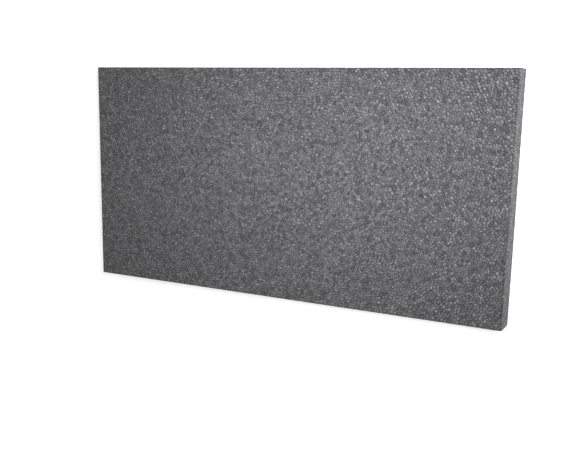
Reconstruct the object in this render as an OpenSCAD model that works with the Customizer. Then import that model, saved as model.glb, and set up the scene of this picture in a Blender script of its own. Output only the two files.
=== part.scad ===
// Graphite expanded polystyrene insulation board, cut from a block by hot wire.
// The board lies flat: length along X, width along Y, thickness along Z.
// The origin is the centre of the underside.

/* [Board] */
// Length of the board
board_length = 1000; // [500:50:2400]
// Width of the board
board_width = 500; // [250:50:1200]
// Thickness of the board
board_thickness = 50; // [20:10:300]

/* [Edges] */
// Radius of the eight long arrises, where an edge meets the top or the underside
arris_radius = 1.5; // [0.5:0.1:5]
// Radius of the four upright corners, where two edges meet
corner_radius = 2.5; // [0.5:0.1:10]

/* [Hidden] */
// Facets of a full circle
circle_facets = 48;
// How far a profile runs past the board, so that it cuts cleanly
overrun = 10;

// A rectangle centred on the origin with round corners
module rounded_rectangle(width, height, radius) {
    square([width - 2 * radius, height], center = true);
    square([width, height - 2 * radius], center = true);
    for (side = [-1, 1], end = [-1, 1])
        translate([side * (width / 2 - radius), end * (height / 2 - radius)])
            circle(r = radius, $fn = circle_facets);
}

// The plan of the board, seen from above
module plan_profile() {
    linear_extrude(height = board_thickness + 2 * overrun, center = true)
        rounded_rectangle(board_length, board_width, corner_radius);
}

// The cross section that the long edges have, seen along X
module long_section() {
    rotate([90, 0, 90])
        linear_extrude(height = board_length + 2 * overrun, center = true)
            rounded_rectangle(board_width, board_thickness, arris_radius);
}

// The cross section that the short edges have, seen along Y
module short_section() {
    rotate([90, 0, 0])
        linear_extrude(height = board_width + 2 * overrun, center = true)
            rounded_rectangle(board_length, board_thickness, arris_radius);
}

// One piece of foam: what the plan and both sections have in common
module board() {
    color("dimgray")
        translate([0, 0, board_thickness / 2])
            intersection() {
                plan_profile();
                long_section();
                short_section();
            }
}

board();
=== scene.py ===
"""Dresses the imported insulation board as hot-wire-cut graphite polystyrene, in a plain pale studio.

The board is one closed mesh of fused beads. Geometry nodes lay out the beads, sink the joints between
them, leave some beads standing proud of the cut and store what the material needs to know of each bead.
"""

import logging
import math
from dataclasses import dataclass
from enum import Enum

import bpy
from mathutils import Matrix, Vector


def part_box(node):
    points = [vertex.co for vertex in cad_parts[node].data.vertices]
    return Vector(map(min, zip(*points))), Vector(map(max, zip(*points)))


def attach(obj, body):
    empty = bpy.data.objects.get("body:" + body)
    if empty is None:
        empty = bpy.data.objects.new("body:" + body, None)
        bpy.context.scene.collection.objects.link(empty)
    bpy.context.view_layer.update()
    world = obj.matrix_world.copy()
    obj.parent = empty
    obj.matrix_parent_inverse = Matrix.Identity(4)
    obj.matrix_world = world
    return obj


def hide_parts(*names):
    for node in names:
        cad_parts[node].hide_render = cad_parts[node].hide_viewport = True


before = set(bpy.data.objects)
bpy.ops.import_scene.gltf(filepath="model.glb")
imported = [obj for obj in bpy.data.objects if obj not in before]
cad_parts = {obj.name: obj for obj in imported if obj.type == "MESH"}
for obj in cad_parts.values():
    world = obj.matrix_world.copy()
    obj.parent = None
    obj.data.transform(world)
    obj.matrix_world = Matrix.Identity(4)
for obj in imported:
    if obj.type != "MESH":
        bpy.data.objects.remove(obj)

LOG = logging.getLogger("board")
NODE = "board"
BODY = "root"
MILLIMETRE = 0.001
# A point this near a face is on it, and points this near each other are one.
ON_FACE = 0.01 * MILLIMETRE
WELD = 0.001 * MILLIMETRE
# The middle of what a noise, a cell or a random draw gives.
MIDDLE = 0.5
ONES = (1.0, 1.0, 1.0)

Socket = bpy.types.NodeSocket
Feed = Socket | float | tuple[float, ...]
Triple = tuple[float, float, float]


class BeadData(Enum):
    """The values that the mesh stores for each bead and the material reads back."""

    CENTRE = "bead_centre"
    RADIUS = "bead_radius"
    # GLINT and GLEAM place and weigh each bead's painted highlight; GLEAM also picks the proud beads.
    GLINT = "bead_glint"
    TONE = "bead_tone"
    GLEAM = "bead_gleam"


class Draw(Enum):
    """What is drawn at random, each with the number that it adds to the seed."""

    JITTER = 0
    JOINT = 11
    VOID = 12
    NICK = 13
    TONE = 21
    GLEAM = 22
    GLINT = 31
    RANK = 41


class Wiring:
    """Adds nodes to one tree and joins them, for shaders and geometry alike."""

    # The places of both inputs and of the output, for each data type.
    MIX_SOCKETS = {"FLOAT": (2, 3, 0), "VECTOR": (4, 5, 1), "RGBA": (6, 7, 2)}

    def __init__(self, tree: bpy.types.NodeTree) -> None:
        """Keeps the tree that the nodes go in."""
        self.tree = tree

    def add(self, kind: str, **settings: object) -> bpy.types.Node:
        """Adds a node.

        Args:
            kind: Blender's name of the node type.
            settings: The node's own properties, such as operation.

        Returns:
            The new node.
        """
        node = self.tree.nodes.new(kind)
        for name, value in settings.items():
            setattr(node, name, value)
        return node

    def feed(self, socket: Socket, value: Feed) -> None:
        """Joins a socket to another, or sets its value.

        Args:
            socket: The input to fill.
            value: An output socket, or a plain value. A colour is given without its alpha.
        """
        if isinstance(value, bpy.types.NodeSocket):
            self.tree.links.new(value, socket)
        elif socket.type == "RGBA":
            socket.default_value = (*value, 1.0)
        else:
            socket.default_value = value

    def math(self, operation: str, *values: Feed, clamp: bool = False) -> Socket:
        """Adds a Math node.

        Args:
            operation: What the node works out.
            values: Its inputs, in order.
            clamp: True to hold the result between 0 and 1.

        Returns:
            The result.
        """
        node = self.add("ShaderNodeMath", operation=operation, use_clamp=clamp)
        for socket, value in zip(node.inputs, values):
            self.feed(socket, value)
        return node.outputs[0]

    def vector(self, operation: str, *values: Feed, output: str = "Vector") -> Socket:
        """Adds a Vector Math node.

        Args:
            operation: What the node works out.
            values: Its vector inputs, in order. A lone number goes to the Scale input.
            output: The name of the output that is wanted.

        Returns:
            The result.
        """
        node = self.add("ShaderNodeVectorMath", operation=operation)
        for place, value in enumerate(values):
            socket = node.inputs["Scale"] if operation == "SCALE" and place else node.inputs[place]
            self.feed(socket, value)
        return node.outputs[output]

    def ramp(self, value: Feed, start: Feed, end: Feed, low: Feed = 0.0, high: Feed = 1.0) -> Socket:
        """Adds a smooth clamped step from one value to another.

        Args:
            value: What is looked up.
            start: Where the step begins.
            end: Where the step ends.
            low: The result at the start.
            high: The result at the end.

        Returns:
            The result.
        """
        node = self.add("ShaderNodeMapRange", interpolation_type="SMOOTHSTEP")
        for socket, feed in zip(node.inputs, (value, start, end, low, high)):
            self.feed(socket, feed)
        return node.outputs["Result"]

    def combine(self, x: Feed, y: Feed, z: Feed) -> Socket:
        """Makes a vector of three numbers.

        Args:
            x: The first number.
            y: The second number.
            z: The third number.

        Returns:
            The vector.
        """
        node = self.add("ShaderNodeCombineXYZ")
        for socket, feed in zip(node.inputs, (x, y, z)):
            self.feed(socket, feed)
        return node.outputs["Vector"]

    def split(self, vector: Socket) -> list[Socket]:
        """Takes a vector apart.

        Args:
            vector: The vector.

        Returns:
            Its three numbers.
        """
        node = self.add("ShaderNodeSeparateXYZ")
        self.feed(node.inputs[0], vector)
        return list(node.outputs)

    def mix(self, kind: str, share: Feed, first: Feed, second: Feed) -> Socket:
        """Blends two numbers, vectors or colours.

        Args:
            kind: Blender's name of their data type.
            share: How much of the second shows.
            first: The first of them.
            second: The second of them.

        Returns:
            The blend.
        """
        node = self.add("ShaderNodeMix", data_type=kind)
        before, after, blend = self.MIX_SOCKETS[kind]
        for place, value in ((0, share), (before, first), (after, second)):
            self.feed(node.inputs[place], value)
        return node.outputs[blend]

    def noise(self, place: Socket, scale: Feed, detail: float) -> bpy.types.Node:
        """Adds a Noise Texture node.

        Args:
            place: Where it is looked up.
            scale: How many lumps there are to a metre.
            detail: How much finer noise lies over it.

        Returns:
            The node.
        """
        node = self.add("ShaderNodeTexNoise")
        for name, value in (("Vector", place), ("Scale", scale), ("Detail", detail)):
            self.feed(node.inputs[name], value)
        return node

    def wander(self, place: Socket, scale: Feed, detail: float, reach: Feed) -> Socket:
        """Makes a vector that goes smoothly to and fro about zero.

        Args:
            place: Where it is looked up.
            scale: How many lumps there are to a metre.
            detail: How much finer noise lies over it.
            reach: How far it goes.

        Returns:
            The vector.
        """
        colour = self.noise(place, scale, detail).outputs["Color"]
        centred = self.vector("SUBTRACT", colour, (MIDDLE, MIDDLE, MIDDLE))
        return self.vector("SCALE", centred, reach)


class GroupInputs:
    """The named inputs and outputs of a node group."""

    KINDS = {int: "NodeSocketInt", float: "NodeSocketFloat", Vector: "NodeSocketVector"}

    def __init__(self, tree: bpy.types.NodeTree) -> None:
        """Starts with no sockets on the node group."""
        self.tree = tree
        self.identifiers: dict[str, str] = {}

    def ask(self, name: str, value: float | int | Vector) -> None:
        """Adds an input to the group.

        Args:
            name: The input's name.
            value: Its value where nothing else is set, which also says of what kind it is.
        """
        kind = next(kind for held, kind in self.KINDS.items() if isinstance(value, held))
        socket = self.tree.interface.new_socket(name=name, in_out="INPUT", socket_type=kind)
        socket.default_value = value
        self.identifiers[name] = socket.identifier

    def give(self, name: str, kind: str) -> None:
        """Adds an output of a socket type to the group."""
        self.tree.interface.new_socket(name=name, in_out="OUTPUT", socket_type=kind)


def new_object(name: str, data: bpy.types.ID) -> bpy.types.Object:
    """Makes an object and puts it in the scene.

    Args:
        name: Its name.
        data: Its mesh, lamp or camera.

    Returns:
        The object.
    """
    made = bpy.data.objects.new(name, data)
    bpy.context.collection.objects.link(made)
    return made


def blank_material(name: str) -> tuple[bpy.types.Material, Wiring]:
    """Makes a material with no nodes yet.

    Args:
        name: Its name.

    Returns:
        The material and its wiring.
    """
    material = bpy.data.materials.new(name)
    material.use_nodes = True
    material.node_tree.nodes.clear()
    return material, Wiring(material.node_tree)


@dataclass(frozen=True)
class BeadRelief:
    """Sizes of the beads and of the relief that the hot wire leaves on them.

    Lengths are in metres. Row shift, jitter and drift are in bead pitches, and shares are of all the beads.
    """

    pitch: float = 4.9 * MILLIMETRE
    stretch: float = 1.08
    row_shift: float = 0.25
    jitter: float = 0.34
    drift: float = 1.6
    drift_size: float = 42 * MILLIMETRE
    relaxing: float = 0.5
    joint_depth: float = 0.32 * MILLIMETRE
    joint_spread: float = 0.22 * MILLIMETRE
    void_depth: float = 0.9 * MILLIMETRE
    void_share: float = 0.05
    arris_radius: float = 1.0 * MILLIMETRE
    arris_nick: float = 0.35 * MILLIMETRE
    least_edge: float = 0.55 * MILLIMETRE
    proud_share: float = 0.05
    proud_height: float = 0.3 * MILLIMETRE
    proud_scale: float = 0.62
    torn_share: float = 0.02
    torn_depth: float = 0.8 * MILLIMETRE
    torn_scale: float = 0.72
    edge_clear: float = 5.0 * MILLIMETRE
    # How far a bead's painted highlight sits off its middle, in bead radii.
    glint_offset: float = 0.4
    fusings: int = 2
    relaxings: int = 3
    seed: int = 7


class BeadLattice:
    """The geometry node tree that turns a plain block into a block of fused beads."""

    # Values between two counts, to tell them apart.
    ONE_OR_TWO = 1.5
    FOUR_OR_FIVE = 4.5
    # The block is parted along edges that fold more sharply than this.
    FOLD = math.radians(60)
    # The drift grows from nothing at an arris to its full size this many pitches away.
    EASE_PITCHES = 3.0
    DRIFT_DETAIL = 0.0
    # Ranks run from this to 1, and two that differ by less than the slack are the same.
    LOWEST_RANK = 0.1
    RANK_SLACK = 0.000002
    # In arris radii: how wide the rounded band is, and how far the voids keep from an arris.
    ARRIS_BAND = 0.5
    VOID_CLEAR = 2.0
    # A higher power makes deep nicks rarer.
    NICK_POWER = 3.0

    def __init__(self, relief: BeadRelief, low: Vector, high: Vector, material: bpy.types.Material) -> None:
        """Builds the tree.

        Args:
            relief: The sizes of the beads.
            low: The block's lowest corner.
            high: The block's highest corner.
            material: What the block is made of.
        """
        self.relief = relief
        self.size = high - low
        self.centre = (low + high) / 2
        self.material = material
        self.tree = bpy.data.node_groups.new("bead_lattice", "GeometryNodeTree")
        self.wiring = Wiring(self.tree)
        self.sockets = GroupInputs(self.tree)
        self.sockets.give("Geometry", "NodeSocketGeometry")
        for name, value in self.settings().items():
            self.sockets.ask(name, value)
        self.group = self.wiring.add("NodeGroupInput")
        self.build()

    def settings(self) -> dict[str, float | int | Vector]:
        """Lists the tree's inputs.

        Returns:
            Each input's name and value.
        """
        relief = self.relief
        return {
            "Length": self.size.x,
            "Width": self.size.y,
            "Thickness": self.size.z,
            "Bead Pitch": relief.pitch,
            "Stretch": relief.stretch,
            "Row Shift": relief.row_shift,
            "Jitter": relief.jitter,
            "Drift": relief.drift,
            "Drift Size": relief.drift_size,
            "Relaxing": relief.relaxing,
            "Relaxings": relief.relaxings,
            "Joint Depth": relief.joint_depth,
            "Joint Spread": relief.joint_spread,
            "Void Depth": relief.void_depth,
            "Void Share": relief.void_share,
            "Arris Radius": relief.arris_radius,
            "Arris Nick": relief.arris_nick,
            "Least Edge": relief.least_edge,
            "Proud Share": relief.proud_share,
            "Proud Height": relief.proud_height,
            "Proud Scale": relief.proud_scale,
            "Torn Share": relief.torn_share,
            "Torn Depth": relief.torn_depth,
            "Torn Scale": relief.torn_scale,
            "Edge Clear": relief.edge_clear,
            "Glint Offset": relief.glint_offset,
            "Centre": self.centre,
            "Seed": relief.seed,
        }

    def value(self, name: str) -> Socket:
        """Finds one of the tree's inputs by name."""
        return self.group.outputs[name]

    def random(self, low: Feed, high: Feed, draw: Draw, turn: int = 0) -> Socket:
        """Adds a random number for each element, fixed by the seed.

        Args:
            low: The least value.
            high: The greatest value.
            draw: What the number is for.
            turn: Which of several such draws it is.

        Returns:
            The number.
        """
        node = self.wiring.add("FunctionNodeRandomValue", data_type="FLOAT")
        self.wiring.feed(node.inputs[2], low)
        self.wiring.feed(node.inputs[3], high)
        seed = self.wiring.math("ADD", self.value("Seed"), float(draw.value + turn))
        self.wiring.feed(node.inputs["Seed"], seed)
        return node.outputs[1]

    def position(self) -> Socket:
        """Reads where each element is."""
        return self.wiring.add("GeometryNodeInputPosition").outputs[0]

    def place(self) -> list[Socket]:
        """Reads the x, y and z of where each element is."""
        return self.wiring.split(self.position())

    def sizes(self) -> list[Socket]:
        """Lists the block's three sizes."""
        return [self.value(name) for name in ("Length", "Width", "Thickness")]

    def insets(self) -> list[Socket]:
        """Finds how far each point is below the nearer of the two faces that end each axis.

        Returns:
            The depth for each axis.
        """
        depths = []
        for at, size in zip(self.place(), self.sizes()):
            depths.append(self.wiring.math("SUBTRACT", self.half(size), self.wiring.math("ABSOLUTE", at)))
        return depths

    def on_faces(self, reach: Feed = ON_FACE) -> list[Socket]:
        """Marks for each axis the points that lie on a face that ends it, or less than the reach below."""
        return [self.wiring.math("LESS_THAN", inset, reach) for inset in self.insets()]

    def total(self, values: list[Socket]) -> Socket:
        """Adds up three numbers."""
        return self.wiring.math("ADD", self.wiring.math("ADD", values[0], values[1]), values[2])

    def outward(self, faces: list[Socket]) -> Socket:
        """Adds up the outward directions of the faces that a point is on, each one unit long."""
        signs = [self.wiring.math("SIGN", at) for at in self.place()]
        return self.wiring.combine(*(self.wiring.math("MULTIPLY", *pair) for pair in zip(signs, faces)))

    def move(self, mesh: Socket, offset: Socket, selection: Feed = True) -> Socket:
        """Moves points.

        Args:
            mesh: What they are part of.
            offset: How far each moves.
            selection: Which of them move.

        Returns:
            The mesh with its points moved.
        """
        node = self.wiring.add("GeometryNodeSetPosition")
        self.wiring.feed(node.inputs["Geometry"], mesh)
        self.wiring.feed(node.inputs["Selection"], selection)
        self.wiring.feed(node.inputs["Offset"], offset)
        return node.outputs[0]

    def merge(self, mesh: Socket, distance: Feed = WELD, selection: Feed = True) -> Socket:
        """Joins points that are closer to each other than a distance.

        Args:
            mesh: What they are part of.
            distance: The distance.
            selection: Which of them may be joined.

        Returns:
            The mesh with fewer points.
        """
        node = self.wiring.add("GeometryNodeMergeByDistance")
        self.wiring.feed(node.inputs["Geometry"], mesh)
        self.wiring.feed(node.inputs["Selection"], selection)
        self.wiring.feed(node.inputs["Distance"], distance)
        return node.outputs[0]

    def clear_of_arrises(self, distance: Feed) -> Socket:
        """Finds what lies on one face only, and further than a distance from its arrises."""
        return self.wiring.math("LESS_THAN", self.total(self.on_faces(distance)), self.ONE_OR_TWO)

    def half(self, size: Socket) -> Socket:
        """Halves a size."""
        return self.wiring.math("DIVIDE", size, 2.0)

    def pitches(self) -> list[Socket]:
        """Lists how far apart the beads are along each axis, a little further along the board.

        Returns:
            The pitch along x, y and z.
        """
        pitch, stretch = self.value("Bead Pitch"), self.value("Stretch")
        wider, narrower = (self.wiring.math(kind, pitch, stretch) for kind in ("MULTIPLY", "DIVIDE"))
        return [wider, narrower, pitch]

    def block(self) -> Socket:
        """Makes the block with a point for each bead.

        Returns:
            The mesh.
        """
        cube = self.wiring.add("GeometryNodeMeshCube")
        sizes = self.sizes()
        self.wiring.feed(cube.inputs["Size"], self.wiring.combine(*sizes))
        for axis, size, pitch in zip("XYZ", sizes, self.pitches()):
            beads = self.wiring.math("ROUND", self.wiring.math("DIVIDE", size, pitch))
            self.wiring.feed(cube.inputs[f"Vertices {axis}"], self.wiring.math("ADD", beads, 1.0))
        return cube.outputs["Mesh"]

    def scatter(self, mesh: Socket) -> Socket:
        """Moves the beads out of their rows, and keeps those at an arris on it.

        Args:
            mesh: The block.

        Returns:
            The block with its points moved along its faces.
        """
        wiring = self.wiring
        pitches = self.pitches()
        place = self.place()
        rows = wiring.math(
            "ADD",
            wiring.math("ROUND", wiring.math("DIVIDE", place[1], pitches[1])),
            wiring.math("ROUND", wiring.math("DIVIDE", place[2], pitches[2])),
        )
        parity = wiring.math("SUBTRACT", wiring.math("FLOORED_MODULO", rows, 2.0), MIDDLE)
        shift = wiring.math("MULTIPLY", wiring.math("MULTIPLY", parity, 2.0), self.value("Row Shift"))
        reach = self.value("Jitter")
        moves = []
        fields = zip(pitches, self.drift(), self.insets(), self.on_faces())
        for axis, (pitch, drift, inset, face) in enumerate(fields):
            move = self.random(wiring.math("MULTIPLY", reach, -1.0), reach, Draw.JITTER, axis)
            if axis == 0:
                move = wiring.math("ADD", move, shift)
            band = wiring.math("MULTIPLY", pitch, self.EASE_PITCHES)
            ease = wiring.math("DIVIDE", inset, band, clamp=True)
            move = wiring.math("MULTIPLY_ADD", drift, ease, move)
            free = wiring.math("SUBTRACT", 1.0, face)
            moves.append(wiring.math("MULTIPLY", wiring.math("MULTIPLY", move, pitch), free))
        triangles = wiring.add("GeometryNodeTriangulate", quad_method="BEAUTY")
        wiring.feed(triangles.inputs[0], self.move(mesh, wiring.combine(*moves)))
        return triangles.outputs[0]

    def drift(self) -> list[Socket]:
        """Bends the rows of beads, so that no row shows.

        Returns:
            How far each point moves along x, y and z, in bead pitches.
        """
        scale = self.wiring.math("DIVIDE", 1.0, self.value("Drift Size"))
        drift = self.wiring.wander(self.position(), scale, self.DRIFT_DETAIL, self.value("Drift"))
        return self.wiring.split(drift)

    def fuse_pairs(self, mesh: Socket, turn: int) -> Socket:
        """Joins scattered single beads to their nearest neighbour, so that sizes vary and rows break up.

        A bead is joined where its random rank is higher than that of every bead around it, so that no
        two such beads touch, and where none of them has few beads around it. Beads at an arris have no
        rank, and others are joined to them only where there is no other choice.

        Args:
            mesh: The triangles between the beads' middles.
            turn: How often this was done before.

        Returns:
            The triangles between the middles of fewer beads.
        """
        wiring = self.wiring
        free = self.clear_of_arrises(ON_FACE)
        rank = wiring.math("MULTIPLY", self.random(self.LOWEST_RANK, 1.0, Draw.RANK, turn), free)
        beads_around = wiring.add("GeometryNodeInputMeshVertexNeighbors").outputs["Vertex Count"]
        few = wiring.math("LESS_THAN", beads_around, self.FOUR_OR_FIVE)
        ends = wiring.add("GeometryNodeInputMeshEdgeVertices").outputs
        indices = [ends[f"Vertex Index {end}"] for end in (1, 2)]
        ranks = [self.at_index(index, rank, "POINT", "FLOAT") for index in indices]
        weak = [self.at_index(index, few, "POINT", "FLOAT") for index in indices]
        hindrance = wiring.math("ADD", wiring.math("MAXIMUM", *ranks), wiring.math("MAXIMUM", *weak))
        around = wiring.add("GeometryNodeFieldOnDomain", data_type="FLOAT", domain="EDGE")
        wiring.feed(around.inputs[0], hindrance)
        excess = wiring.math("SUBTRACT", around.outputs[0], rank)
        highest = wiring.math("MULTIPLY", wiring.math("LESS_THAN", excess, self.RANK_SLACK), free)
        nearest = wiring.add("GeometryNodeEdgesOfVertex")
        length = wiring.vector("DISTANCE", ends["Position 1"], ends["Position 2"], output="Value")
        barred = wiring.math("LESS_THAN", wiring.math("MINIMUM", *ranks), self.LOWEST_RANK / 2)
        wiring.feed(nearest.inputs["Weights"], wiring.math("ADD", length, barred))
        both = wiring.vector("ADD", ends["Position 1"], ends["Position 2"])
        both = self.at_index(nearest.outputs["Edge Index"], both, "EDGE", "FLOAT_VECTOR")
        offset = wiring.vector("SUBTRACT", both, wiring.vector("SCALE", self.position(), 2.0))
        return self.merge(self.move(mesh, offset, highest))

    def at_index(self, index: Socket, value: Socket, domain: str, kind: str) -> Socket:
        """Reads a value at another element.

        Args:
            index: Which element.
            value: The value that is read there.
            domain: What kind of element it is.
            kind: The value's data type.

        Returns:
            The value.
        """
        node = self.wiring.add("GeometryNodeFieldAtIndex", data_type=kind, domain=domain)
        self.wiring.feed(node.inputs["Index"], index)
        self.wiring.feed(node.inputs["Value"], value)
        return node.outputs[0]

    def relax(self, mesh: Socket) -> Socket:
        """Evens out the room between the beads, and keeps those at an arris where they are.

        Args:
            mesh: The triangles between the beads' middles.

        Returns:
            The triangles with their points moved along the faces.
        """
        wiring = self.wiring
        free = self.clear_of_arrises(ON_FACE)
        position = self.position()
        blur = wiring.add("GeometryNodeBlurAttribute", data_type="FLOAT_VECTOR")
        wiring.feed(blur.inputs["Value"], position)
        wiring.feed(blur.inputs["Iterations"], self.value("Relaxings"))
        wiring.feed(blur.inputs["Weight"], wiring.math("MULTIPLY", free, self.value("Relaxing")))
        return self.move(mesh, wiring.vector("SUBTRACT", blur.outputs[0], position), free)

    def outline_beads(self, mesh: Socket) -> Socket:
        """Turns the triangles into the many-sided faces of fused beads, each face of the block by itself.

        Args:
            mesh: The triangles between the beads' middles.

        Returns:
            The six faces of the block, not yet joined.
        """
        wiring = self.wiring
        angle = wiring.add("GeometryNodeInputMeshEdgeAngle").outputs["Unsigned Angle"]
        split = wiring.add("GeometryNodeSplitEdges")
        wiring.feed(split.inputs[0], mesh)
        wiring.feed(split.inputs["Selection"], wiring.math("GREATER_THAN", angle, self.FOLD))
        dual = wiring.add("GeometryNodeDualMesh")
        wiring.feed(dual.inputs[0], split.outputs[0])
        wiring.feed(dual.inputs["Keep Boundaries"], True)
        inner = self.clear_of_arrises(self.value("Least Edge"))
        return self.merge(dual.outputs[0], self.value("Least Edge"), inner)

    def round_arrises(self, mesh: Socket) -> Socket:
        """Draws the faces in from the arrises and closes the gaps with strips that meet halfway round.

        Args:
            mesh: The six faces of the block.

        Returns:
            The closed block of beads.
        """
        wiring = self.wiring
        normal = wiring.vector("ABSOLUTE", wiring.add("GeometryNodeInputNormal").outputs[0])
        held = wiring.add("GeometryNodeCaptureAttribute", domain="POINT")
        for name, value in (("Normal", normal), ("Faces", wiring.combine(*self.on_faces()))):
            held.capture_items.new("VECTOR", name)
            wiring.feed(held.inputs[name], value)
        wiring.feed(held.inputs["Geometry"], mesh)
        count = wiring.vector("DOT_PRODUCT", held.outputs["Faces"], ONES, output="Value")
        faces_beside = wiring.add("GeometryNodeInputMeshEdgeNeighbors").outputs["Face Count"]
        strip = wiring.add("GeometryNodeExtrudeMesh", mode="EDGES")
        wiring.feed(strip.inputs["Mesh"], held.outputs["Geometry"])
        wiring.feed(strip.inputs["Selection"], wiring.math("LESS_THAN", faces_beside, self.ONE_OR_TWO))
        wiring.feed(strip.inputs["Offset Scale"], 0.0)
        halfway = wiring.vector("SCALE", held.outputs["Faces"], wiring.math("INVERSE_SQRT", count))
        kept = wiring.mix("VECTOR", strip.outputs["Top"], held.outputs["Normal"], halfway)
        moved = wiring.vector("SUBTRACT", ONES, kept)
        halves = wiring.combine(*(self.half(size) for size in self.sizes()))
        across = wiring.vector("DIVIDE", wiring.vector("MULTIPLY", self.position(), moved), halves)
        radius = wiring.math("MULTIPLY", self.value("Arris Radius"), -1.0)
        mesh = self.move(strip.outputs["Mesh"], wiring.vector("SCALE", across, radius))
        return self.merge(mesh)

    def store(self, mesh: Socket, data: BeadData, kind: str, value: Feed) -> Socket:
        """Stores a value on each bead.

        Args:
            mesh: The beads.
            data: What is stored.
            kind: Its data type.
            value: The value.

        Returns:
            The beads with the value.
        """
        node = self.wiring.add("GeometryNodeStoreNamedAttribute", data_type=kind, domain="FACE")
        self.wiring.feed(node.inputs["Geometry"], mesh)
        self.wiring.feed(node.inputs["Name"], data.value)
        self.wiring.feed(node.inputs["Value"], value)
        return node.outputs[0]

    def sink(self, mesh: Socket) -> Socket:
        """Sinks the joints between the beads, some of them to voids, and nicks the arrises.

        Args:
            mesh: The beads.

        Returns:
            The beads with their relief.
        """
        wiring = self.wiring
        radius = self.value("Arris Radius")
        faces = self.on_faces(wiring.math("MULTIPLY", radius, self.ARRIS_BAND))
        arris = wiring.math("GREATER_THAN", self.total(faces), self.ONE_OR_TWO)
        least = self.value("Joint Depth")
        joint = self.random(least, wiring.math("ADD", least, self.value("Joint Spread")), Draw.JOINT)
        empty = wiring.math("LESS_THAN", self.random(0.0, 1.0, Draw.VOID), self.value("Void Share"))
        inner = self.clear_of_arrises(wiring.math("MULTIPLY", radius, self.VOID_CLEAR))
        empty = wiring.math("MULTIPLY", empty, inner)
        joint = wiring.math("MULTIPLY_ADD", empty, self.value("Void Depth"), joint)
        nick = wiring.math("POWER", self.random(0.0, 1.0, Draw.NICK), self.NICK_POWER)
        nick = wiring.math("MULTIPLY", nick, self.value("Arris Nick"))
        depth = wiring.mix("FLOAT", arris, joint, nick)
        inward = wiring.vector("SCALE", self.outward(faces), wiring.math("MULTIPLY", depth, -1.0))
        return self.move(mesh, inward)

    def press(self, mesh: Socket, chosen: Socket, height: Feed, scale: Feed) -> Socket:
        """Makes each chosen bead a low button, or a shallow pit where the height is negative.

        Args:
            mesh: The beads.
            chosen: Which of them.
            height: How far each moves out.
            scale: How much narrower it gets.

        Returns:
            The beads with those moved.
        """
        wiring = self.wiring
        lift = wiring.add("GeometryNodeExtrudeMesh", mode="FACES")
        wiring.feed(lift.inputs["Mesh"], mesh)
        inner = self.clear_of_arrises(self.value("Edge Clear"))
        wiring.feed(lift.inputs["Selection"], wiring.math("MULTIPLY", chosen, inner))
        wiring.feed(lift.inputs["Offset Scale"], height)
        wiring.feed(lift.inputs["Individual"], True)
        narrow = wiring.add("GeometryNodeScaleElements", domain="FACE")
        wiring.feed(narrow.inputs["Geometry"], lift.outputs["Mesh"])
        wiring.feed(narrow.inputs["Selection"], lift.outputs["Top"])
        wiring.feed(narrow.inputs["Scale"], scale)
        return narrow.outputs[0]

    def shape_beads(self, mesh: Socket) -> Socket:
        """Leaves the beads with the strongest painted highlight standing proud of the cut, and pits where
        the wire tore a bead out.

        Args:
            mesh: The beads, which already hold their values.

        Returns:
            The beads with some raised and some torn out.
        """
        wiring = self.wiring
        gleam, tone = (wiring.add("GeometryNodeInputNamedAttribute", data_type="FLOAT") for _ in range(2))
        wiring.feed(gleam.inputs["Name"], BeadData.GLEAM.value)
        wiring.feed(tone.inputs["Name"], BeadData.TONE.value)
        brightest = wiring.math("SUBTRACT", 1.0, self.value("Proud Share"))
        proud = wiring.math("GREATER_THAN", gleam.outputs["Attribute"], brightest)
        torn = wiring.math("LESS_THAN", tone.outputs["Attribute"], self.value("Torn Share"))
        torn = wiring.math("MULTIPLY", torn, wiring.math("SUBTRACT", 1.0, proud))
        held = wiring.add("GeometryNodeCaptureAttribute", domain="FACE")
        held.capture_items.new("FLOAT", "Torn")
        wiring.feed(held.inputs["Torn"], torn)
        wiring.feed(held.inputs["Geometry"], mesh)
        mesh = held.outputs["Geometry"]
        mesh = self.press(mesh, proud, self.value("Proud Height"), self.value("Proud Scale"))
        depth = wiring.math("MULTIPLY", self.value("Torn Depth"), -1.0)
        return self.press(mesh, held.outputs["Torn"], depth, self.value("Torn Scale"))

    def finish(self, mesh: Socket) -> None:
        """Moves the block to its place, shades it smooth and gives it its material.

        Args:
            mesh: The finished beads.
        """
        wiring = self.wiring
        move = wiring.add("GeometryNodeTransform")
        wiring.feed(move.inputs["Geometry"], mesh)
        wiring.feed(move.inputs["Translation"], self.value("Centre"))
        realize = wiring.add("GeometryNodeRealizeInstances")
        wiring.feed(realize.inputs[0], move.outputs[0])
        smooth = wiring.add("GeometryNodeSetShadeSmooth")
        wiring.feed(smooth.inputs[0], realize.outputs[0])
        dress = wiring.add("GeometryNodeSetMaterial")
        wiring.feed(dress.inputs["Geometry"], smooth.outputs[0])
        dress.inputs["Material"].default_value = self.material
        end = wiring.add("NodeGroupOutput")
        wiring.feed(end.inputs[0], dress.outputs[0])

    def build(self) -> None:
        """Wires the whole tree."""
        mesh = self.scatter(self.block())
        for turn in range(self.relief.fusings):
            mesh = self.relax(self.fuse_pairs(mesh, turn))
        mesh = self.describe_beads(self.outline_beads(mesh))
        self.finish(self.shape_beads(self.sink(self.round_arrises(mesh))))

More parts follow.
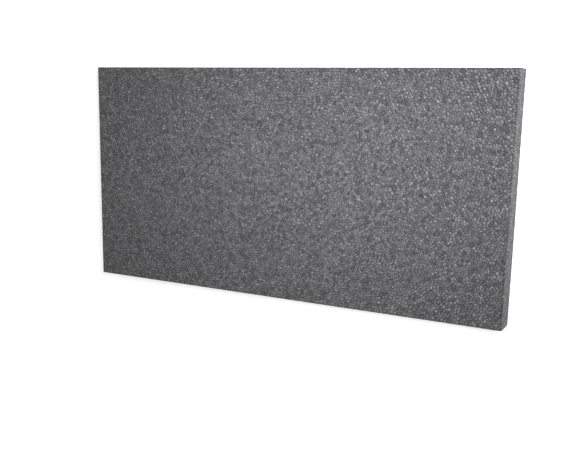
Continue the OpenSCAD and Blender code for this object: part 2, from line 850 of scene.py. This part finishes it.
    def describe_beads(self, mesh: Socket) -> Socket:
        """Stores what the material needs to know of each bead.

        Args:
            mesh: The beads.

        Returns:
            The beads with their values.
        """
        wiring = self.wiring
        area = wiring.add("GeometryNodeInputMeshFaceArea").outputs[0]
        radius = wiring.math("SQRT", wiring.math("DIVIDE", area, math.pi))
        mesh = self.store(mesh, BeadData.RADIUS, "FLOAT", radius)
        mesh = self.store(mesh, BeadData.TONE, "FLOAT", self.random(0.0, 1.0, Draw.TONE))
        # The gleam weighs each bead's painted highlight and picks the proud beads.
        mesh = self.store(mesh, BeadData.GLEAM, "FLOAT", self.random(0.0, 1.0, Draw.GLEAM))
        centre = wiring.vector("ADD", self.position(), self.value("Centre"))
        mesh = self.store(mesh, BeadData.CENTRE, "FLOAT_VECTOR", centre)
        # Where each bead's painted highlight sits, off the bead's middle.
        away = wiring.combine(*(self.random(-1.0, 1.0, Draw.GLINT, axis) for axis in range(3)))
        away = wiring.vector("SCALE", away, wiring.math("MULTIPLY", radius, self.value("Glint Offset")))
        return self.store(mesh, BeadData.GLINT, "FLOAT_VECTOR", wiring.vector("ADD", centre, away))


@dataclass(frozen=True)
class GraphiteFoam:
    """The finish of hot-wire-cut graphite polystyrene.

    Sizes are in metres. The dome, the joint darkening (partly the joints' own colour, partly painted crease
    shade) and the painted highlight each fade over a span from one share of their radius to another.
    """

    name: str = "graphite_foam"
    # Colour at the joints between beads: partly their own darker colour, partly painted shade in the
    # creases.
    joint: Triple = (0.045, 0.045, 0.047)
    body: Triple = (0.156, 0.156, 0.161)
    # Painted highlight: a pale colour laid on some beads in place of light glinting off their skins.
    painted_highlight_colour: Triple = (0.424, 0.424, 0.436)
    dull_roughness: float = 0.72
    bright_roughness: float = 0.32
    sheen_level: float = 0.25
    tone_spread: float = 0.68
    dome_span: tuple[float, float] = (1.15, 0.2)
    joint_colour_and_shade_span: tuple[float, float] = (0.8, 1.25)
    painted_highlight_span: tuple[float, float] = (1.0, 0.2)
    usual_radius: float = 3 * MILLIMETRE
    usual_gleam: float = 0.5
    # How strong and how wide the painted highlights are.
    gleam_power: float = 2.1
    gleam_reach: float = 1.1
    gleam_limit: float = 3.2 * MILLIMETRE
    mottle_size: float = 10 * MILLIMETRE
    mottle_spread: float = 0.4
    mottle_detail: float = 1.0
    # How much the mottle gathers the painted highlights into clusters.
    gleam_clusters: float = 3.0
    warp_size: float = 6.0 * MILLIMETRE
    warp_reach: float = 7.0 * MILLIMETRE
    warp_detail: float = 1.0
    cell_size: float = 3.2 * MILLIMETRE
    cell_spread: float = 1.0
    cell_height: float = 0.3
    pore_size: float = 0.7 * MILLIMETRE
    pore_spread: float = 0.2
    pore_height: float = 0.08
    bump_depth: float = 0.5 * MILLIMETRE

    def bead_pattern(self) -> bpy.types.NodeTree:
        """Builds the group that works out one bead's masks, from its middle to its joint.

        Returns:
            The group. It puts out masks for the dome, for the joint, whose darkening is partly painted
            crease shade, and for the painted highlight.
        """
        tree = bpy.data.node_groups.new("bead_pattern", "ShaderNodeTree")
        sockets = GroupInputs(tree)
        for name in ("Place", "Shine Place", "Centre", "Glint"):
            sockets.ask(name, Vector())
        for name, value in (("Radius", self.usual_radius), ("Gleam", self.usual_gleam)):
            sockets.ask(name, value)
        for name in ("Dome", "Joint", "Painted Highlight"):
            sockets.give(name, "NodeSocketFloat")
        wiring = Wiring(tree)
        group = wiring.add("NodeGroupInput").outputs
        away = wiring.vector("DISTANCE", group["Place"], group["Centre"], output="Value")
        reach = wiring.math("DIVIDE", away, group["Radius"])
        dome = wiring.ramp(reach, *self.dome_span)
        # The joint mask darkens the rim of each bead: partly real dark joints, partly painted crease shade.
        joint = wiring.ramp(reach, *self.joint_colour_and_shade_span)
        # The painted highlight: a pale patch round each bead's glint point, standing in for light glinting
        # off its skin.
        shine = wiring.vector("DISTANCE", group["Shine Place"], group["Glint"], output="Value")
        spread = wiring.math("MULTIPLY", group["Radius"], self.gleam_reach)
        spread = wiring.math("MINIMUM", spread, self.gleam_limit)
        shine = wiring.ramp(wiring.math("DIVIDE", shine, spread), *self.painted_highlight_span)
        strength = wiring.math("POWER", group["Gleam"], self.gleam_power)
        end = wiring.add("NodeGroupOutput").inputs
        wiring.feed(end["Dome"], dome)
        wiring.feed(end["Joint"], joint)
        wiring.feed(end["Painted Highlight"], wiring.math("MULTIPLY", shine, strength))
        return tree

    def cells(self, wiring: Wiring, place: Socket, size: float) -> Socket:
        """Adds the small cells inside the beads.

        Args:
            wiring: The material's wiring.
            place: Where the surface is.
            size: How large a cell is.

        Returns:
            0 in the middle of a cell, rising to its walls.
        """
        node = wiring.add("ShaderNodeTexVoronoi", feature="F1")
        wiring.feed(node.inputs["Vector"], place)
        wiring.feed(node.inputs["Scale"], 1 / size)
        return node.outputs["Distance"]

    def warp(self, wiring: Wiring, place: Socket) -> Socket:
        """Shifts places to and fro, so that what is drawn there gets uneven edges."""
        wander = wiring.wander(place, 1 / self.warp_size, self.warp_detail, self.warp_reach)
        return wiring.vector("ADD", place, wander)

    def vary(self, wiring: Wiring, level: Feed, value: Feed, spread: float) -> Socket:
        """Makes a level rise and fall with a value that goes from 0 to 1, by the spread in all."""
        change = wiring.math("MULTIPLY_ADD", value, spread, 1 - spread * MIDDLE)
        return wiring.math("MULTIPLY", level, change)

    def build(self) -> bpy.types.Material:
        """Builds the material.

        Returns:
            The material.
        """
        material, wiring = blank_material(self.name)
        place = wiring.add("ShaderNodeTexCoord").outputs["Object"]
        pattern = wiring.add("ShaderNodeGroup", node_tree=self.bead_pattern())
        wiring.feed(pattern.inputs["Place"], place)
        wiring.feed(pattern.inputs["Shine Place"], self.warp(wiring, place))
        wiring.feed(pattern.inputs["Centre"], self.read(wiring, BeadData.CENTRE, "Vector"))
        wiring.feed(pattern.inputs["Glint"], self.read(wiring, BeadData.GLINT, "Vector"))
        wiring.feed(pattern.inputs["Radius"], self.read(wiring, BeadData.RADIUS, "Fac"))
        wiring.feed(pattern.inputs["Gleam"], self.read(wiring, BeadData.GLEAM, "Fac"))
        tone = self.read(wiring, BeadData.TONE, "Fac")
        cells = self.cells(wiring, place, self.cell_size)
        pores = self.cells(wiring, place, self.pore_size)
        mottle = wiring.noise(place, 1 / self.mottle_size, self.mottle_detail).outputs["Fac"]

        level = self.vary(wiring, 1.0, tone, self.tone_spread)
        level = self.vary(wiring, level, mottle, self.mottle_spread)
        level = self.vary(wiring, level, cells, -self.cell_spread)
        level = self.vary(wiring, level, pores, -self.pore_spread)
        skin = wiring.vector("SCALE", self.body, level)
        # Painted highlight on some beads, clustered by the mottle, in place of light glinting off the bead
        # skins; it also lowers the roughness there.
        painted_highlight_mask = self.vary(wiring, pattern.outputs["Painted Highlight"], mottle, self.gleam_clusters)
        skin_with_painted_highlight = wiring.mix("RGBA", painted_highlight_mask, skin, self.painted_highlight_colour)
        # Darkening toward each bead's joint: partly the joints' own darker colour, partly painted shade in
        # the creases between beads.
        colour = wiring.mix("RGBA", pattern.outputs["Joint"], skin_with_painted_highlight, self.joint)

        principled = wiring.add("ShaderNodeBsdfPrincipled")
        wiring.feed(principled.inputs["Base Color"], colour)
        wiring.feed(principled.inputs["Specular IOR Level"], self.sheen_level)
        rough = wiring.ramp(painted_highlight_mask, 0.0, 1.0, self.dull_roughness, self.bright_roughness)
        wiring.feed(principled.inputs["Roughness"], rough)
        height = wiring.math("MULTIPLY_ADD", cells, -self.cell_height, pattern.outputs["Dome"])
        height = wiring.math("MULTIPLY_ADD", pores, -self.pore_height, height)
        bump = wiring.add("ShaderNodeBump")
        wiring.feed(bump.inputs["Strength"], 1.0)
        wiring.feed(bump.inputs["Distance"], self.bump_depth)
        wiring.feed(bump.inputs["Height"], height)
        wiring.feed(principled.inputs["Normal"], bump.outputs[0])
        end = wiring.add("ShaderNodeOutputMaterial")
        wiring.feed(end.inputs["Surface"], principled.outputs[0])
        return material

    def read(self, wiring: Wiring, data: BeadData, output: str) -> Socket:
        """Reads what the mesh stores for each bead, in the form that is wanted."""
        node = wiring.add("ShaderNodeAttribute", attribute_type="GEOMETRY", attribute_name=data.value)
        return node.outputs[output]


@dataclass(frozen=True)
class Board:
    """The board: one closed mesh of fused beads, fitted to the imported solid."""

    low: Vector
    high: Vector
    relief: BeadRelief = BeadRelief()
    finish: GraphiteFoam = GraphiteFoam()
    crease_angle: float = math.radians(50)

    def build(self) -> bpy.types.Object:
        """Makes the board, puts it under the root body and hides the imported part that it takes the place
        of.

        Returns:
            The board.
        """
        lattice = BeadLattice(self.relief, self.low, self.high, self.finish.build())
        board = new_object("foam_board", bpy.data.meshes.new("foam_board"))
        beads = board.modifiers.new("beads", "NODES")
        beads.node_group = lattice.tree
        for name, value in lattice.settings().items():
            beads[lattice.sockets.identifiers[name]] = value
        self.bake_down(board)
        self.mark_creases(board.data)
        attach(board, BODY)
        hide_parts(NODE)
        return board

    def bake_down(self, board: bpy.types.Object) -> None:
        """Turns what the modifiers make into the board's own mesh.

        Args:
            board: The board.
        """
        graph = bpy.context.evaluated_depsgraph_get()
        mesh = bpy.data.meshes.new_from_object(board.evaluated_get(graph))
        board.modifiers.clear()
        board.data = mesh
        mesh.name = board.name

    def mark_creases(self, mesh: bpy.types.Mesh) -> None:
        """Shades the mesh smooth but for the edges that turn sharply."""
        mesh.set_sharp_from_angle(angle=self.crease_angle)


@dataclass(frozen=True)
class Lamp:
    """A soft rectangular lamp that points at the board."""

    name: str
    place: Triple
    target: Triple
    size: tuple[float, float]
    watts: float
    spread: float = math.pi

    def build(self) -> bpy.types.Object:
        """Makes the lamp.

        Returns:
            The lamp.
        """
        light = bpy.data.lights.new(self.name, "AREA")
        light.shape = "RECTANGLE"
        light.size, light.size_y = self.size
        light.energy = self.watts
        light.spread = self.spread
        lamp = new_object(self.name, light)
        lamp.location = self.place
        lamp.visible_camera = False
        aim = Vector(self.target) - Vector(self.place)
        lamp.rotation_euler = aim.to_track_quat("-Z", "Y").to_euler()
        return lamp


@dataclass(frozen=True)
class Camera:
    """The camera, at the angle and distance from which the photograph sees the board's face."""

    place: Triple = (0.8548, 0.1838, 1.5819)
    ahead: Triple = (-0.4552, -0.1970, -0.8684)
    right: Triple = (0.8836, 0.0209, -0.4679)
    frame_width: float = 575.0
    frame_height: float = 468.0
    focal_pixels: float = 811.0
    centre_x: float = 298.6
    centre_y: float = 262.7
    sensor: float = 36.0

    def build(self) -> bpy.types.Object:
        """Makes the camera and looks through it.

        Returns:
            The camera.
        """
        data = bpy.data.cameras.new("camera")
        data.sensor_width = self.sensor
        data.lens = self.focal_pixels / self.frame_width * self.sensor
        data.shift_x = (self.frame_width / 2 - self.centre_x) / self.frame_width
        data.shift_y = (self.centre_y - self.frame_height / 2) / self.frame_width
        camera = new_object("camera", data)
        back = -Vector(self.ahead).normalized()
        right = Vector(self.right)
        right = (right - back * right.dot(back)).normalized()
        turn = Matrix((right, back.cross(right), back)).transposed()
        camera.matrix_world = Matrix.Translation(self.place) @ turn.to_4x4()
        bpy.context.scene.camera = camera
        return camera


@dataclass(frozen=True)
class Studio:
    """A plain pale floor under two soft lamps: a key above one end of the board and a low one beside it."""

    floor_half: float = 6.0
    floor_albedo: float = 0.8
    near_glow: float = 0.66
    near_reach: float = 0.5
    far_glow: float = 1.0
    far_reach: float = 0.95
    world_level: float = 0.152
    key: Lamp = Lamp(
        "key", place=(1.03, 0.36, 1.5), target=(0.076, 0.228, 0.05), size=(0.45, 0.45), watts=4.9,
        spread=math.radians(69),
    )
    side: Lamp = Lamp("side", place=(1.6, 0.65, 0.16), target=(0.0, 0.0, 0.05), size=(0.6, 0.2), watts=7.3)

    def unseen(self, wiring: Wiring) -> Socket:
        """Finds the rays that show the background: the camera's own, and those that mirror or pass it.

        Args:
            wiring: The wiring of a shader tree.

        Returns:
            1 for such a ray and 0 for the rest.
        """
        path = wiring.add("ShaderNodeLightPath")
        seen = wiring.math("MAXIMUM", path.outputs["Is Camera Ray"], path.outputs["Is Glossy Ray"])
        return wiring.math("MAXIMUM", seen, path.outputs["Is Transmission Ray"])

    def floor(self) -> bpy.types.Object:
        """Makes the floor.

        Returns:
            The floor.
        """
        half = self.floor_half
        mesh = bpy.data.meshes.new("floor")
        corners = [(-half, -half, 0), (half, -half, 0), (half, half, 0), (-half, half, 0)]
        mesh.from_pydata(corners, [], [(0, 1, 2, 3)])
        floor = new_object("floor", mesh)
        material, wiring = blank_material("pale_floor")
        principled = wiring.add("ShaderNodeBsdfPrincipled")
        wiring.feed(principled.inputs["Base Color"], (self.floor_albedo,) * 3)
        for name, value in (("Roughness", 1.0), ("Specular IOR Level", 0.0), ("Emission Strength", 1.0)):
            wiring.feed(principled.inputs[name], value)
        place = wiring.add("ShaderNodeTexCoord").outputs["Object"]
        away = wiring.vector("LENGTH", place, output="Value")
        glow = wiring.ramp(away, self.near_reach, self.far_reach, self.near_glow, self.far_glow)
        glow = wiring.math("MULTIPLY", self.unseen(wiring), glow)
        wiring.feed(principled.inputs["Emission Color"], wiring.combine(glow, glow, glow))
        end = wiring.add("ShaderNodeOutputMaterial")
        wiring.feed(end.inputs["Surface"], principled.outputs[0])
        mesh.materials.append(material)
        return floor

    def world(self) -> None:
        """Makes the pale surroundings, which the camera sees as white."""
        world = bpy.data.worlds.new("studio")
        bpy.context.scene.world = world
        world.use_nodes = True
        world.node_tree.nodes.clear()
        wiring = Wiring(world.node_tree)
        background = wiring.add("ShaderNodeBackground")
        wiring.feed(background.inputs["Color"], ONES)
        strength = wiring.ramp(self.unseen(wiring), 0.0, 1.0, self.world_level, 1.0)
        wiring.feed(background.inputs["Strength"], strength)
        end = wiring.add("ShaderNodeOutputWorld")
        wiring.feed(end.inputs["Surface"], background.outputs[0])

    def build(self) -> None:
        """Makes the floor, the surroundings and the lamps."""
        self.floor()
        self.world()
        self.key.build()
        self.side.build()
        bpy.context.scene.view_settings.view_transform = "Standard"


def main() -> None:
    """Builds the scene in order and reports each piece."""
    logging.basicConfig(level=logging.INFO, format="%(name)s: %(message)s")
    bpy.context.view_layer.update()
    camera = Camera().build()
    LOG.info("camera at %s", tuple(round(v, 3) for v in camera.matrix_world.translation))
    Studio().build()
    LOG.info("studio floor, surroundings and lamps")
    board = Board(*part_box(NODE)).build()
    triangles = sum(len(face.vertices) - 2 for face in board.data.polygons)
    LOG.info("%s: %d faces, %d triangles", board.name, len(board.data.polygons), triangles)


if __name__ == "__main__":
    main()
